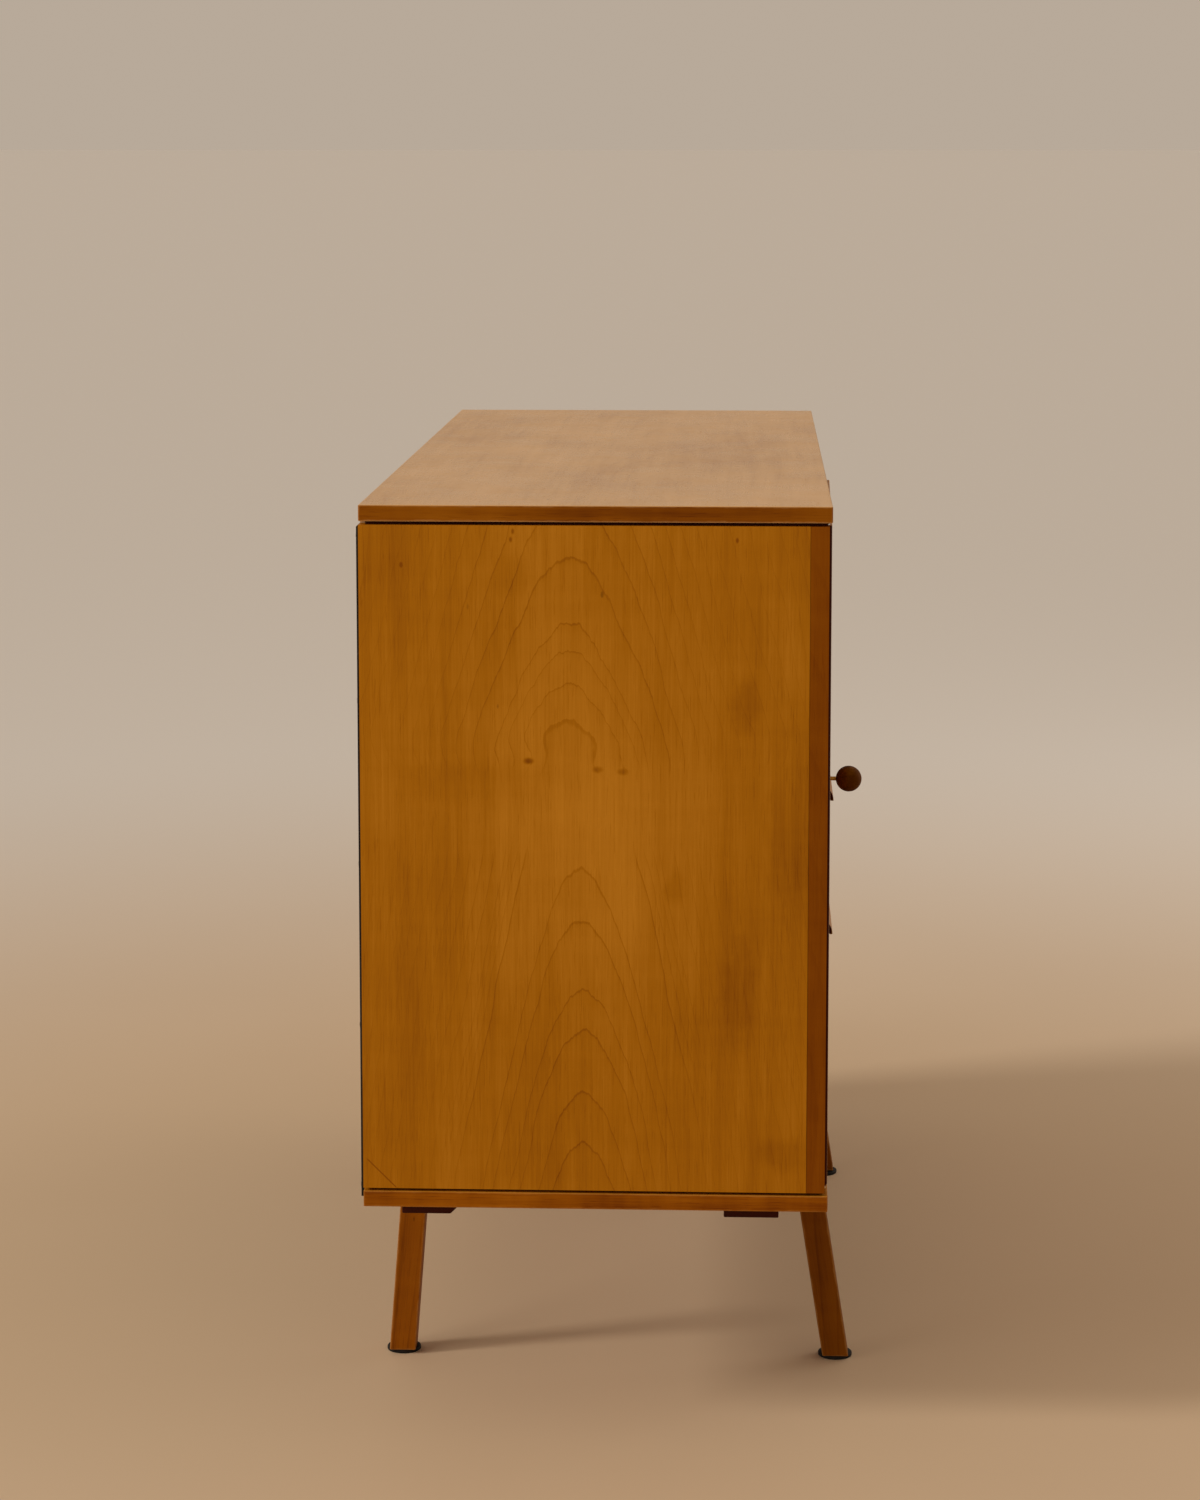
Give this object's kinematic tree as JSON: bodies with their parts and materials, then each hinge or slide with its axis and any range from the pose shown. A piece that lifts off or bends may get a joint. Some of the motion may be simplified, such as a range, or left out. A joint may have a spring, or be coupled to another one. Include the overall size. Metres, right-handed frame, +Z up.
{
  "type": "console television cabinet",
  "caption": "Long maple console cabinet on raked legs with a full-height pivot door, a built-in television set, drawers with lip pulls and a vented rear cover.",
  "frame": {"origin": "middle of the bounding box on the floor, under the cabinet", "axes": "+Z up, -Y towards the front with its door, screen and drawers, +X towards the cabinet's right end as seen from the front"},
  "size_m": [1.219, 0.5078, 0.938],
  "materials": {
    "top_maple": "worn satin lacquer, paler than the ends",
    "end_maple": "amber satin lacquer",
    "red_maple": "red-brown satin lacquer",
    "front_maple": "amber satin lacquer",
    "leg_maple": "red-brown satin lacquer",
    "dark_rail": "dark stain",
    "drawer_wood": "plain, waxed",
    "plywood": "plain",
    "black_board": "black fibreboard, matt",
    "bakelite": "moulded phenolic",
    "aged_brass": "darkened",
    "bush_brass": "turned",
    "pivot_steel": "plated",
    "chassis_steel": "plated sheet",
    "dark_steel": "dark enamel",
    "glide": "black, matt",
    "mask": "bronze paint",
    "clear_glass": "smooth",
    "tube_glass": "dark grey-green",
    "grille_wood": "slotted, satin lacquer",
    "knob_plastic": "brown, polished"
  },
  "bodies": {
    "cabinet": {"top_board": "top_maple", "base_board": "end_maple", "left_side_panel": "end_maple", "left_side_lipping": "red_maple", "right_side_panel": "end_maple", "right_side_lipping": "red_maple", "case_top": "plywood", "case_bottom": "plywood", "divider_panel": "plywood", "tv_shelf": "plywood", "fixed_shelf": "plywood", "rear_cover": "black_board", "mains_inlet": "bakelite", "rear_batten": "dark_rail", "front_batten": "dark_rail", "left_leg_rail": "leg_maple", "right_leg_rail": "leg_maple", "left_rear_leg": "leg_maple", "left_front_leg": "leg_maple", "right_rear_leg": "leg_maple", "right_front_leg": "leg_maple", "left_rear_glide": "glide", "left_front_glide": "glide", "right_rear_glide": "glide", "right_front_glide": "glide", "upper_pivot_bush": "bush_brass", "lower_pivot_bush": "bush_brass", "door_catch": "dark_steel", "upper_drawer_left_runner": "drawer_wood", "upper_drawer_right_runner": "drawer_wood", "lower_drawer_left_runner": "drawer_wood", "lower_drawer_right_runner": "drawer_wood", "tv_front_panel": "front_maple", "screen_mask": "mask", "safety_glass": "clear_glass", "picture_tube": "tube_glass", "deflection_yoke": "bakelite", "tv_chassis": "chassis_steel", "power_transformer": "dark_steel", "loudspeaker": "dark_steel", "speaker_grille": "grille_wood"},
    "door": {"door_panel": "front_maple", "door_knob": "aged_brass", "upper_pivot_pin": "pivot_steel", "lower_pivot_pin": "pivot_steel", "door_strike": "pivot_steel"},
    "upper_drawer": {"upper_drawer_front": "front_maple", "upper_drawer_pull": "front_maple", "upper_drawer_left_side": "drawer_wood", "upper_drawer_right_side": "drawer_wood", "upper_drawer_back": "drawer_wood", "upper_drawer_bottom": "plywood"},
    "lower_drawer": {"lower_drawer_front": "front_maple", "lower_drawer_pull": "front_maple", "lower_drawer_left_side": "drawer_wood", "lower_drawer_right_side": "drawer_wood", "lower_drawer_back": "drawer_wood", "lower_drawer_bottom": "plywood"},
    "channel_selector": {"channel_knob": "knob_plastic"},
    "volume_control": {"volume_knob": "knob_plastic"}
  },
  "joints": [
    {"name": "door_hinge", "type": "hinge", "parent": "cabinet", "child": "door", "pos_m": [-0.581, -0.20058, 0.5898], "axis": [0, 0, -1], "range_deg": [-0.9, 94]},
    {"name": "upper_drawer_slide", "type": "slide", "parent": "cabinet", "child": "upper_drawer", "axis": [0, -1, 0], "range_m": [0, 0.28]},
    {"name": "lower_drawer_slide", "type": "slide", "parent": "cabinet", "child": "lower_drawer", "axis": [0, -1, 0], "range_m": [0, 0.28]},
    {"name": "channel_turn", "type": "hinge", "parent": "cabinet", "child": "channel_selector", "pos_m": [0.3951, -0.20958, 0.663], "axis": [0, 1, 0], "continuous": true},
    {"name": "volume_turn", "type": "hinge", "parent": "cabinet", "child": "volume_control", "pos_m": [0.5001, -0.20958, 0.663], "axis": [0, 1, 0], "range_deg": [0, 300]}
  ]
}
